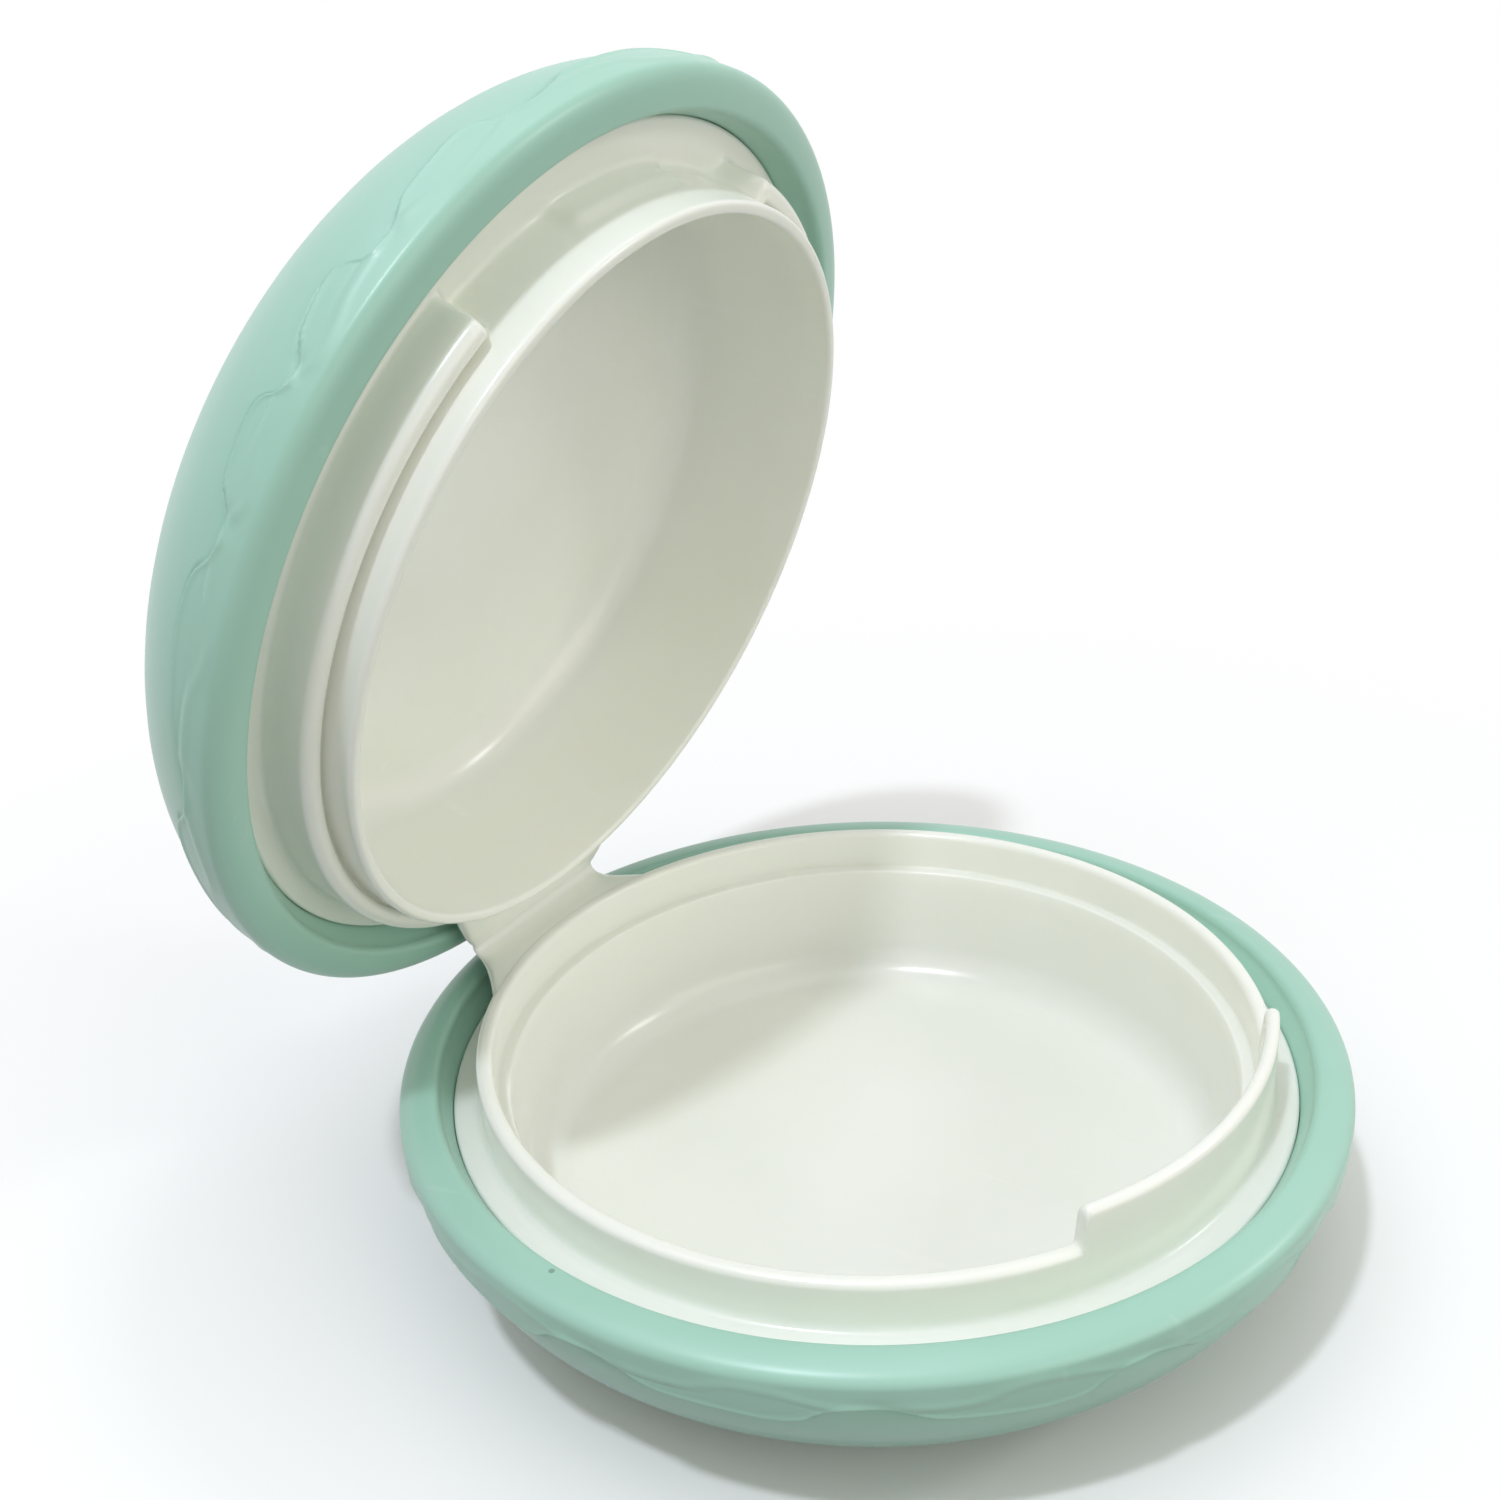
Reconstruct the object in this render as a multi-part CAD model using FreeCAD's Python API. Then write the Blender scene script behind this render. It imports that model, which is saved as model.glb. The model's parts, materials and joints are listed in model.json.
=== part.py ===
import FreeCAD, Part
import math
import os

# Round flip-open palette case: two domed shells, a white tray and a hinged white lid liner.
# Millimetres. The origin is the centre of the flat foot, +Z is up, the hinge is at +Y and the thumb
# tab faces -Y. The lid is drawn half open, as it stands in use.

# Outer shells, one shape used twice; heights are measured from the widest plane
SHELL_R = 28.0
SHELL_DEPTH = 11.05
CROWN_DROP = 1.6
FOOT_SPREAD = 1.7
SHELL_WALL = 1.2
LIP_W = 2.6
LIP_RISE = 0.95
SEAT_W = 1.0

# Ruffled band round each shell, with an irregular scalloped edge
BAND_PROUD = 0.25
BAND_DEPTH = 2.05
RUFFLE_DEPTH = 0.75
RUFFLE_COUNT = 11
RUFFLE_UNEVEN = 0.22
RUFFLE_POINTS = 10

# White mouldings: what tray and liner share
FLANGE_DROP = 0.6
FLANGE_THICK = 0.9
FLANGE_CLEAR = 0.1
FLANGE_W = 1.85
MOULD_WALL = 0.8
FLOOR_FILLET = 2.6
ROOT_FILLET = 0.5

# Tray, with a ring wall round its rim and a narrow ledge inside the ring
RING_WALL = 0.95
RING_TOP = 2.2
RING_ROUND = 0.4
LEDGE_DROP = 0.3
LEDGE_W = 0.8
TRAY_DRAFT = 0.7
CORNER_CLEAR = 0.2

# Thumb tab on the tray's ring, set a little to one side of the point across from the hinge
CLASP_TURN = -8.0
TAB_HALF = 28.0
TAB_RISE = 2.2
TAB_WALL = 0.8
TAB_ROUND = 0.3
TAB_CORNER = 1.0

# Lid liner, with a spigot that enters the ring and a collar that stops on it
SPIGOT_CLEAR = 0.2
SPIGOT_WALL = 0.7
SPIGOT_TOP = 4.1
SPIGOT_ROUND = 0.3
LINER_DRAFT = 1.0
LINER_GAP = 2.05
COLLAR_OVER = 0.15
COLLAR_TOP = 2.5
COLLAR_ROUND = 0.55
GROOVE_DEPTH = 0.6
GROOVE_ROUND = 0.35
CLASP_CLEAR = 0.5
PAD_HALF = 13.0
PAD_W = 1.8
PAD_CLEAR = 0.3
PAD_RAMP = 1.2

# Folding strap between tray and liner
CLOSED_REST = 0.3
STRAP_REACH = 2.25
FILM_RISE = 1.1
STRAP_W = 14.0
LEAF_ROOT = 0.9
LEAF_END = 0.5
FILM_THICK = 0.35
HINGE_CLEAR = 0.1

# How far the lid stands open
LID_OPEN = 72.0

# Sizes that follow from those above
FLANK_R = SHELL_DEPTH - CROWN_DROP
FOOT_R = SHELL_R - BAND_PROUD - SHELL_DEPTH - FOOT_SPREAD
CROWN_REACH = FOOT_SPREAD + CROWN_DROP
CROWN_R = (CROWN_REACH ** 2 + SHELL_DEPTH ** 2 - FLANK_R ** 2) / (2 * CROWN_DROP)
BORE_R = SHELL_R - LIP_W
SEAT_Z = -FLANGE_DROP - FLANGE_THICK
FLANGE_R = BORE_R - FLANGE_CLEAR
RING_R = FLANGE_R - FLANGE_W
RING_IN = RING_R - RING_WALL
LEDGE_R = RING_IN - LEDGE_W
CORNER_R = CROWN_R - SHELL_WALL - CORNER_CLEAR - MOULD_WALL - FLOOR_FILLET
CORNER_REACH = LEDGE_R - TRAY_DRAFT - FLOOR_FILLET - FOOT_R
TRAY_DEPTH = math.sqrt(CORNER_R ** 2 - CORNER_REACH ** 2) + FLOOR_FILLET + SHELL_DEPTH - CROWN_R
LINER_DEPTH = SHELL_DEPTH - SHELL_WALL - LINER_GAP - MOULD_WALL
TAB_TOP = RING_TOP + TAB_RISE
SPIGOT_R = RING_IN - SPIGOT_CLEAR
COLLAR_R = RING_R + COLLAR_OVER
PAD_R = SPIGOT_R + PAD_W
CLOSED_GAP = RING_TOP + CLOSED_REST + COLLAR_TOP
PAD_RISE = CLOSED_GAP + FLANGE_DROP - TAB_TOP - PAD_CLEAR
LEAF_TOP = RING_TOP - RING_ROUND
HINGE_Y = RING_R + STRAP_REACH
HINGE_UP = LEAF_TOP + FILM_RISE
UP = FreeCAD.Vector(0, 0, 1)
ZERO = FreeCAD.Vector(0, 0, 0)
X_AXIS = FreeCAD.Vector(1, 0, 0)


def at(across, height):
    """A point of an upright outline, before it is turned about Z or drawn out."""
    return FreeCAD.Vector(across, 0, height)


def line(start, end):
    return Part.LineSegment(start, end).toShape()


def arc_about(centre, radius, first, last):
    """An arc in the upright plane, between two angles in radians counted from +X towards +Z."""
    turns = (first, (first + last) / 2, last)
    points = [centre + radius * at(math.cos(t), math.sin(t)) for t in turns]
    return Part.Arc(*points).toShape()


def outline(corners):
    """A face from corners (across, height) or (across, height, rounding)."""
    places = [at(c[0], c[1]) for c in corners]
    edges = []
    ends = []
    for i, corner in enumerate(corners):
        here = places[i]
        rounding = corner[2] if len(corner) > 2 else 0
        if not rounding:
            ends.append((here, here))
            continue
        back = (places[i - 1] - here).normalize()
        ahead = (places[(i + 1) % len(places)] - here).normalize()
        half = back.getAngle(ahead) / 2
        inward = (back + ahead).normalize()
        start = here + back * (rounding / math.tan(half))
        end = here + ahead * (rounding / math.tan(half))
        edges.append(Part.Arc(start, here + inward * (rounding / math.sin(half) - rounding), end).toShape())
        ends.append((start, end))
    for i, (start, _) in enumerate(ends):
        edges.append(line(ends[i - 1][1], start))
    return Part.Face(Part.Wire(Part.__sortEdges__(edges)))


def turned(face):
    return face.revolve(ZERO, UP, 360)


def largest(shape):
    return max(shape.Solids, key=lambda solid: solid.Volume)


def ring(inner, outer, low, high):
    """A plain ring with flat faces."""
    return turned(outline([(inner, low), (outer, low), (outer, high), (inner, high)]))


def clasp_prism(corners):
    """An outline seen from the clasp, drawn out from the axis through the clasp."""
    prism = outline(corners).extrude(FreeCAD.Vector(0, -2 * SHELL_R, 0))
    prism.rotate(ZERO, UP, CLASP_TURN)
    return prism


def drawn_across(corners, width):
    """An outline of (y, z) corners, drawn out along X and centred on it."""
    solid = outline(corners).extrude(FreeCAD.Vector(0, -width, 0))
    solid.translate(FreeCAD.Vector(0, width / 2, 0))
    solid.rotate(ZERO, UP, 90)
    return solid


def dome_arcs(inset):
    """Crown and flank arcs of a shell, moved inwards by inset, and the ends of the pair."""
    widest = SHELL_R - BAND_PROUD
    joint = -math.atan2(CROWN_R - SHELL_DEPTH, CROWN_REACH)
    crown_arc = arc_about(at(FOOT_R, CROWN_R - SHELL_DEPTH), CROWN_R - inset, -math.pi / 2, joint)
    flank_arc = arc_about(at(widest - FLANK_R, 0), FLANK_R - inset, joint, 0)
    return [crown_arc, flank_arc], at(FOOT_R, inset - SHELL_DEPTH), at(widest - inset, 0)


def shell_blank():
    """The domed outside, solid up to the seat of the flange, with the rolled lip above it."""
    arcs, foot, widest = dome_arcs(0)
    rim = at(SHELL_R, 0)
    bore_top = at(BORE_R, LIP_RISE)
    oval = Part.Ellipse(rim, bore_top, at(BORE_R, 0))
    lip = Part.ArcOfEllipse(oval, 0, math.pi / 2).toShape()
    seat = at(BORE_R, SEAT_Z)
    axis_top = at(0, SEAT_Z)
    axis_low = at(0, -SHELL_DEPTH)
    sides = [line(axis_low, foot), *arcs, line(widest, rim), lip]
    sides += [line(bore_top, seat), line(seat, axis_top), line(axis_top, axis_low)]
    return turned(Part.Face(Part.Wire(sides)))


def shell_hollow():
    """The space inside a shell, no wider than the inner edge of the flange's seat."""
    arcs, foot, widest = dome_arcs(SHELL_WALL)
    axis_low = at(0, SHELL_WALL - SHELL_DEPTH)
    sides = [line(axis_low, foot), *arcs, line(widest, ZERO), line(ZERO, axis_low)]
    dome = turned(Part.Face(Part.Wire(sides)))
    bore = Part.makeCylinder(BORE_R - SEAT_W, SHELL_DEPTH, at(0, -SHELL_DEPTH))
    return dome.common(bore)


def ruffle_height(turn):
    """Height of the band's edge: uneven scallops that sink slowly and come back sharply."""
    phase = RUFFLE_COUNT * (turn + RUFFLE_UNEVEN * math.sin(3 * turn + 1) / 3)
    wave = math.sin(phase) + math.sin(2 * phase) / 2 + math.sin(3 * phase) / 3
    return -BAND_DEPTH - RUFFLE_DEPTH / 2 * wave


def scallop_edge(index, radius):
    """One scallop of the band's edge, on a cylinder about the axis."""
    pitch = 2 * math.pi / RUFFLE_COUNT
    turns = [pitch * (index + i / RUFFLE_POINTS) for i in range(RUFFLE_POINTS + 1)]
    points = [FreeCAD.Vector(radius * math.cos(t), radius * math.sin(t), ruffle_height(t)) for t in turns]
    curve = Part.BSplineCurve()
    curve.interpolate(points)
    return curve.toShape()


def ruffled_band():
    """A thin skin on the flank, from the widest plane down to the scalloped edge."""
    centre = at(SHELL_R - BAND_PROUD - FLANK_R, 0)
    low = -math.asin((BAND_DEPTH + 2 * RUFFLE_DEPTH) / FLANK_R)
    inner = arc_about(centre, FLANK_R, low, 0)
    outer = arc_about(centre, FLANK_R + BAND_PROUD, low, 0)
    sides = [inner, line(at(SHELL_R - BAND_PROUD, 0), at(SHELL_R, 0)), outer]
    sides.append(line(outer.Vertexes[0].Point, inner.Vertexes[0].Point))
    skin = turned(Part.Face(Part.Wire(Part.__sortEdges__(sides))))
    scallops = []
    for index in range(RUFFLE_COUNT):
        near = scallop_edge(index, SHELL_R - FLANK_R / 2)
        far = scallop_edge(index, SHELL_R + FLANK_R / 2)
        above = Part.makeRuledSurface(near, far).extrude(at(0, SHELL_DEPTH))
        scallops.append(skin.common(above))
    return scallops[0].fuse(scallops[1:])


def shell():
    return shell_blank().fuse(ruffled_band()).cut(shell_hollow()).removeSplitter()


def dish(wall_top, draft, depth):
    """Corners of a dished inside, from its wall top to the axis and back along the outside."""
    foot_r = wall_top[0] - draft
    outside = foot_r + MOULD_WALL
    seat_share = (depth + SEAT_Z) / (depth + wall_top[1])
    inside = [wall_top, (foot_r, -depth, FLOOR_FILLET), (0, -depth), (0, -depth - MOULD_WALL)]
    skirt = [(outside, -depth - MOULD_WALL, FLOOR_FILLET + MOULD_WALL)]
    skirt.append((outside + draft * seat_share, SEAT_Z))
    flange = [(FLANGE_R, SEAT_Z), (FLANGE_R, -FLANGE_DROP)]
    return inside + skirt + flange


def tray():
    corners = dish((LEDGE_R, -LEDGE_DROP), TRAY_DRAFT, TRAY_DEPTH)
    corners += [(RING_R, -FLANGE_DROP, ROOT_FILLET), (RING_R, RING_TOP, RING_ROUND)]
    corners += [(RING_IN, RING_TOP, RING_ROUND), (RING_IN, -LEDGE_DROP)]
    return turned(outline(corners)).fuse(thumb_tab()).removeSplitter()


def thumb_tab():
    """The raised stretch of the ring wall, with round shoulders."""
    half = RING_R * math.sin(math.radians(TAB_HALF))
    shape = [(half, 0), (half, TAB_TOP, TAB_CORNER), (-half, TAB_TOP, TAB_CORNER), (-half, 0)]
    wall_in = RING_R - TAB_WALL
    wall = [(wall_in, 0), (RING_R, 0), (RING_R, TAB_TOP, TAB_ROUND), (wall_in, TAB_TOP, TAB_ROUND)]
    return turned(outline(wall)).common(clasp_prism(shape))


def lid_liner():
    """The lid's white moulding, drawn opening upwards like the tray."""
    spigot_in = SPIGOT_R - SPIGOT_WALL
    corners = dish((spigot_in, SPIGOT_TOP), LINER_DRAFT, LINER_DEPTH)
    corners += [(SPIGOT_R, -FLANGE_DROP, ROOT_FILLET), (SPIGOT_R, SPIGOT_TOP, SPIGOT_ROUND)]
    return turned(outline(corners)).fuse([stop_collar(), clasp_pad()]).removeSplitter()


def stop_collar():
    """The beaded collar that stops the lid on the tray's ring, open where the thumb tab goes."""
    inner = SPIGOT_R - SPIGOT_WALL / 2
    groove = COLLAR_TOP - GROOVE_DEPTH
    groove_r = COLLAR_R - 2 * COLLAR_ROUND
    corners = [(inner, -FLANGE_DROP - FLANGE_THICK / 2), (COLLAR_R, -FLANGE_DROP - FLANGE_THICK / 2)]
    corners += [(COLLAR_R, COLLAR_TOP, COLLAR_ROUND), (groove_r, COLLAR_TOP, GROOVE_ROUND)]
    corners += [(groove_r, groove), (inner, groove)]
    half = RING_R * math.sin(math.radians(TAB_HALF)) + CLASP_CLEAR
    high = SPIGOT_TOP
    low = -FLANGE_DROP
    gap = clasp_prism([(-half, low), (half, low), (half, high), (-half, high)])
    gap = gap.cut(Part.makeCylinder(SPIGOT_R, 2 * SHELL_DEPTH, at(0, -SHELL_DEPTH)))
    return turned(outline(corners)).cut(gap)


def clasp_pad():
    """The low pad on the flange, behind the tip of the thumb tab, ramped at both ends."""
    half = PAD_R * math.sin(math.radians(PAD_HALF))
    low = -FLANGE_DROP - FLANGE_THICK / 2
    high = -FLANGE_DROP + PAD_RISE
    shape = [(-half - PAD_RAMP, low), (half + PAD_RAMP, low), (half, high), (-half, high)]
    return ring(SPIGOT_R - SPIGOT_WALL / 2, PAD_R, low, high).common(clasp_prism(shape))


def hinge_leaf_tray(tray_shape):
    """The strap's half on the tray, thick at the ring and thin at the fold."""
    top = LEAF_TOP
    end = HINGE_Y + FILM_THICK / 2
    root = math.sqrt(RING_IN ** 2 - STRAP_W ** 2 / 4)
    corners = [(root, top - LEAF_ROOT), (end, top - LEAF_END), (end, top), (root, top)]
    return largest(drawn_across(corners, STRAP_W).cut(tray_shape))


def hinge_film():
    """The thin fold line, standing on the tray's leaf with its round top on the hinge axis."""
    half = FILM_THICK / 2
    corners = [(HINGE_Y - half, LEAF_TOP), (HINGE_Y + half, LEAF_TOP)]
    web = drawn_across(corners + [(HINGE_Y + half, HINGE_UP), (HINGE_Y - half, HINGE_UP)], STRAP_W)
    roll = Part.makeCylinder(half, STRAP_W, FreeCAD.Vector(-STRAP_W / 2, HINGE_Y, HINGE_UP), X_AXIS)
    return web.fuse(roll).removeSplitter()


def hinge_leaf_lid(liner_shape):
    """The strap's half on the closed lid's collar, clear of the fold line."""
    end = HINGE_Y - FILM_THICK / 2 - HINGE_CLEAR
    low = HINGE_UP - LEAF_END / 2
    root = math.sqrt(SPIGOT_R ** 2 - STRAP_W ** 2 / 4)
    corners = [(root, low), (end, low), (end, low + LEAF_END), (root, low + LEAF_ROOT)]
    return largest(drawn_across(corners, STRAP_W).cut(liner_shape))


def closed_lid(solid):
    """Turn a half that was drawn opening upwards over onto the lower half."""
    turned_over = solid.mirror(ZERO, UP)
    turned_over.translate(at(0, CLOSED_GAP))
    return turned_over


def opened(solid):
    """Swing a closed lid's piece open about the fold line."""
    swung = solid.copy()
    swung.rotate(FreeCAD.Vector(0, HINGE_Y, HINGE_UP), X_AXIS, -LID_OPEN)
    return swung


def pieces():
    tray_shape = tray()
    liner_shape = closed_lid(lid_liner())
    shell_shape = shell()
    shapes = {
        "bottom_shell": shell_shape,
        "tray": tray_shape,
        "hinge_leaf_tray": hinge_leaf_tray(tray_shape),
        "hinge_film": hinge_film(),
        "hinge_leaf_lid": opened(hinge_leaf_lid(liner_shape)),
        "lid_liner": opened(liner_shape),
        "lid_shell": opened(closed_lid(shell_shape)),
    }
    return {name: largest(shape) for name, shape in shapes.items()}


os.makedirs("parts", exist_ok=True)
for name, solid in pieces().items():
    solid.translate(at(0, SHELL_DEPTH))
    solid.exportStep("parts/" + name + ".step")
    print(name, "valid" if solid.isValid() else "not valid", round(solid.Volume, 1), "mm3")
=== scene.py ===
import bmesh
import bpy
import json
import math
import numpy as np
from mathutils import Matrix, Vector


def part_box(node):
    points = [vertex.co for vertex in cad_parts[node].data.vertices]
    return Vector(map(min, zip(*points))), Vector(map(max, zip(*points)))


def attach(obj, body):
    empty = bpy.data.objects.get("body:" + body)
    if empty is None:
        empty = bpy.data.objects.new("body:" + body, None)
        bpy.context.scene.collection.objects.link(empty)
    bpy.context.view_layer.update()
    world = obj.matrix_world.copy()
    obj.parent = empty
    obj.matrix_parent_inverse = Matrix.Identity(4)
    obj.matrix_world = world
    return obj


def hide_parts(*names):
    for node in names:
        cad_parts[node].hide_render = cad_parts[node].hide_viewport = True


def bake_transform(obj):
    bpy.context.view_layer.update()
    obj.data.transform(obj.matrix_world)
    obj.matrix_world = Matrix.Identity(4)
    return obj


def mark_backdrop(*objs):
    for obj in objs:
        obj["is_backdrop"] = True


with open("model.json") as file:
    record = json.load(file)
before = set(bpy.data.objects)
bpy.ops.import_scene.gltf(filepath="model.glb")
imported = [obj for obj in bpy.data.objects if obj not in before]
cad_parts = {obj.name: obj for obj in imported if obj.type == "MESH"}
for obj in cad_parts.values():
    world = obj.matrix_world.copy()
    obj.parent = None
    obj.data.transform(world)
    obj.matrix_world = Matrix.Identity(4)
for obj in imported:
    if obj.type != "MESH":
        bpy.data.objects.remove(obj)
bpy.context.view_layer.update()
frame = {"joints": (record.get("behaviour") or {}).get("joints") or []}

# Sizes in millimetres; heights are counted from the widest plane of a shell that opens upwards
MM = 0.001
CORNER = 0.1
ROW_GAP = 0.15

# Shells
SHELL_R = 28.0
SHELL_DEPTH = 11.05
FLANK_R = 9.45
FOOT_R = 15.0
FOOT_EASE = 0.6
SHELL_WALL = 1.2
LIP_RISE = 0.95
LIP_EDGE = 0.45
BORE_R = 25.05
BORE_TOP = 0.4
BORE_DRAFT = 0.65
SEAT_R = 24.4
SEAT_Z = -1.5
BAND_PROUD = 0.25

# Both white dishes
FLANGE_Z = -0.6
FLANGE_R = 25.0
FLANGE_EDGE = 0.2
FLANGE_FLAT = 24.7
MOULD_WALL = 0.8
FLOOR_FILLET = 2.6
FLOOR_EASE = 0.4
SKIRT_EASE = 0.3
BASE_EASE = 1.0

# Tray, with the thumb tab on its ring wall
RING_R = 23.45
RING_IN = 22.5
RING_TOP = 2.32
RING_ROUND_IN = 0.36
RING_ROUND_OUT = 0.4
RING_FOOT = 0.5
RING_WALL_IN = (0.3, RING_TOP - 0.75)
LEDGE_R = 21.7
LEDGE_Z = -0.3
LEDGE_ROUND = 0.12
LEDGE_FILLET = 0.15
LEDGE_FLAT = (LEDGE_R + 0.25, RING_IN - 0.2)
TRAY_WALL_TOP = (LEDGE_R - 0.02, LEDGE_Z - 0.15)
TRAY_FOOT_R = 21.0
TRAY_DEPTH = 8.17
CLASP_TURN = -8.0
TAB_HALF = 28.0
TAB_RISE = 2.38
TAB_THIN = 0.15
TAB_FROM = RING_TOP - 0.6
TAB_FOOT = 0.25
TAB_SHOULDER = 0.4
TAB_END = 0.46
TAB_STEEP = ((0.01, 0.5), (0.03, 1.1), (0.05, 1.8))

# Lid's dish, with its spigot ring, stop collar and snap bump
SPIGOT_R = 22.3
SPIGOT_IN = 21.6
SPIGOT_TOP = 4.1
SPIGOT_ROUND_IN = 0.22
SPIGOT_ROUND_OUT = 0.3
SPIGOT_FOOT = 0.5
SPIGOT_LOW = 2.7
LINER_FOOT_R = 20.6
LINER_DEPTH = 7.0
COLLAR_R = 23.6
COLLAR_TOP = 2.5
COLLAR_BEAD = 0.37
COLLAR_BEAD_OUT = 0.58
COLLAR_ROUND = 0.6
COLLAR_WALL = (1.6, 0.0)
COLLAR_FOOT = 0.4
COLLAR_FLAT = 24.5
COLLAR_STEEP_END = 0.7
COLLAR_EASED_END = 2.7
COLLAR_EASED_BACK = 1.6
COLLAR_EASED = ((0, 0), (0.4, 0.01), (0.8, 0.04), (1.2, 0.1), (1.5, 0.18), (1.75, 0.32), (1.95, 0.55),
                (2.1, 0.75), (2.25, 0.9), (2.45, 0.98), (COLLAR_EASED_END, 1.0))
GROOVE_Z = 1.9
GROOVE_TOP = 2.6
GROOVE_LIP = 2.52
GROOVE_EASE = 0.12
GROOVE_FLOOR = (0.04, 0.17, 0.2)
GROOVE_FADE = 2.0
GAP_CLEAR = 0.5
GAP_FLAT = 0.7
BUMP_LOW = -19.5
BUMP_HIGH = 7.0
BUMP_R = 22.62
BUMP_TOP = 1.25
BUMP_RAMP = 1.6
BUMP_HEAD = BUMP_TOP + 0.6
BUMP_WALL = (BUMP_TOP - 0.5, FLANGE_Z + 0.55)
BUMP_FOOT = 0.4
BUMP_FLAT = 0.55
BUMP_STEP = ((0.03, 0.5), (0.12, 0.38), (0.3, 0.2), (0.5, 0.03), (0.7, -0.12), (0.88, -0.26), (0.97, -0.4))

# Folding strap: its top line on each side of the fold, its thickness along it and its rounded sides
STRAP_HALF = 6.27
STRAP_SHIFT = 0.52
STRAP_ROOT_R = 22.9
STRAP_TRAY = ((22.85, 2.29), (23.5, 2.27), (24.2, 2.2), (24.8, 2.22), (25.2, 2.4), (25.42, 2.72))
STRAP_LID = ((25.38, 2.58), (24.9, 2.55), (24.1, 2.55), (23.3, 2.62))
STRAP_THICK = (0.95, 0.95, 0.75, 0.5, 0.38, 0.35, 0.38, 0.55, 0.85, 0.9)
STRAP_SIDES = (0.0, 0.05, 0.16, 0.34, 0.6)
STRAP_ROWS = 61
STRAP_COLUMNS = 25
TRAY_FLARE = (3.9, 1.6)
TRAY_FLARE_POWER = 2
TRAY_REACH = 0.42
LID_FLARE = 2.2
LID_FLARE_FROM = 0.58
LID_FLARE_POWER = 1.3
LID_REACH = 0.36
SAG_POWER = 1.5
CLOSED_GAP = 5.0

# Where the pieces stand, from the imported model
hinge = frame["joints"][0]
HINGE = Vector(hinge["pos_m"])
LID_OPEN = -hinge["range_deg"][0]
RIM_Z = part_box("bottom_shell")[1].z - LIP_RISE * MM

# Scallops of the ruffled bands: where each one starts, in degrees from the clasp side towards +X
LOWER_SCALLOPS = (-160, -128, -95, -65, -36, -8, 25, 62, 96, 130, 165)
UPPER_SCALLOPS = (-165, -131, -100, -70.5, -55, -41, -20.5, 12, 44, 78, 110, 152)
LOWER_SEED = 2.0
UPPER_SEED = 7.0

# How deep the edge runs along one scallop: it sinks slowly, stays deep and comes back sharply
SCALLOP_CURVE = ((0.0, 0.02), (0.07, 0.04), (0.2, 0.28), (0.34, 0.68), (0.55, 0.82), (0.72, 0.93),
                 (0.83, 0.82), (0.93, 0.26), (1.0, 0.02))
SCALLOP_DRIFT = 0.8
SCALLOP_SINK = 0.35
SCALLOP_RETURN = 0.2
CREASE_AT = -0.05
CREASE_WIDTH = 0.15
DIMPLE_PART = 0.13
DIMPLE_SPAN = 0.08
DIMPLE_AT = 0.15
DIMPLE_WIDTH = 0.5

# The band's raised edge, and a fainter ridge nearer the lip whose scallops are turned a little
BAND = {"Line depth": 1.25, "Scallop depth": 1.45, "Proud": BAND_PROUD, "Softness": 0.2, "Roll": 0.07,
        "Groove": 0.16, "Dimple": 0.15}
BAND_VARIATION = 0.5
RIDGE = {"Line depth": 0.7, "Scallop depth": 0.9, "Proud": 0.0, "Softness": 0.3, "Roll": 0.06,
         "Groove": 0.04, "Dimple": 0.0}
RIDGE_VARIATION = 0.9
RIDGE_TURN = 11
RIDGE_SEED = 5.0

# Rows and columns of a shell; turns are in degrees
BAND_LOW = -20
BAND_HIGH = -3.5
BAND_ROWS = 74
SINK_STEP = 0.6
MIDDLE_STEP = 1.1
RETURN_COLUMNS = 20


def line(start, end, count):
    """Points from start to end, both included."""
    return [tuple(p) for p in np.linspace(start, end, count)]


def arc(centre, radius, first, last, count):
    """Points round a centre, between two angles in degrees."""
    turns = np.radians(np.linspace(first, last, count))
    return [(centre[0] + radius * math.cos(t), centre[1] + radius * math.sin(t)) for t in turns]


def spline(points, count):
    """Points along a smooth curve through the given ones."""
    points = np.asarray(points, float)
    ends = np.concatenate([[2 * points[0] - points[1]], points, [2 * points[-1] - points[-2]]])
    spots = np.linspace(0, len(points) - 1, count)
    steps = np.minimum(spots.astype(int), len(points) - 2)
    t = (spots - steps).reshape((-1,) + (1,) * (points.ndim - 1))
    a, b, c, d = (ends[steps + i] for i in range(4))
    square = 2 * a - 5 * b + 4 * c - d
    cube = 3 * b - a - 3 * c + d
    return 0.5 * (2 * b + (c - a) * t + square * t ** 2 + cube * t ** 3)


def tinted(red, green, blue):
    """A display colour, 0 to 255, as the linear colour that shaders take."""
    shares = [c / 255 for c in (red, green, blue)]
    return tuple(c / 12.92 if c <= 0.04045 else ((c + 0.055) / 1.055) ** 2.4 for c in shares) + (1.0,)


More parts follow.
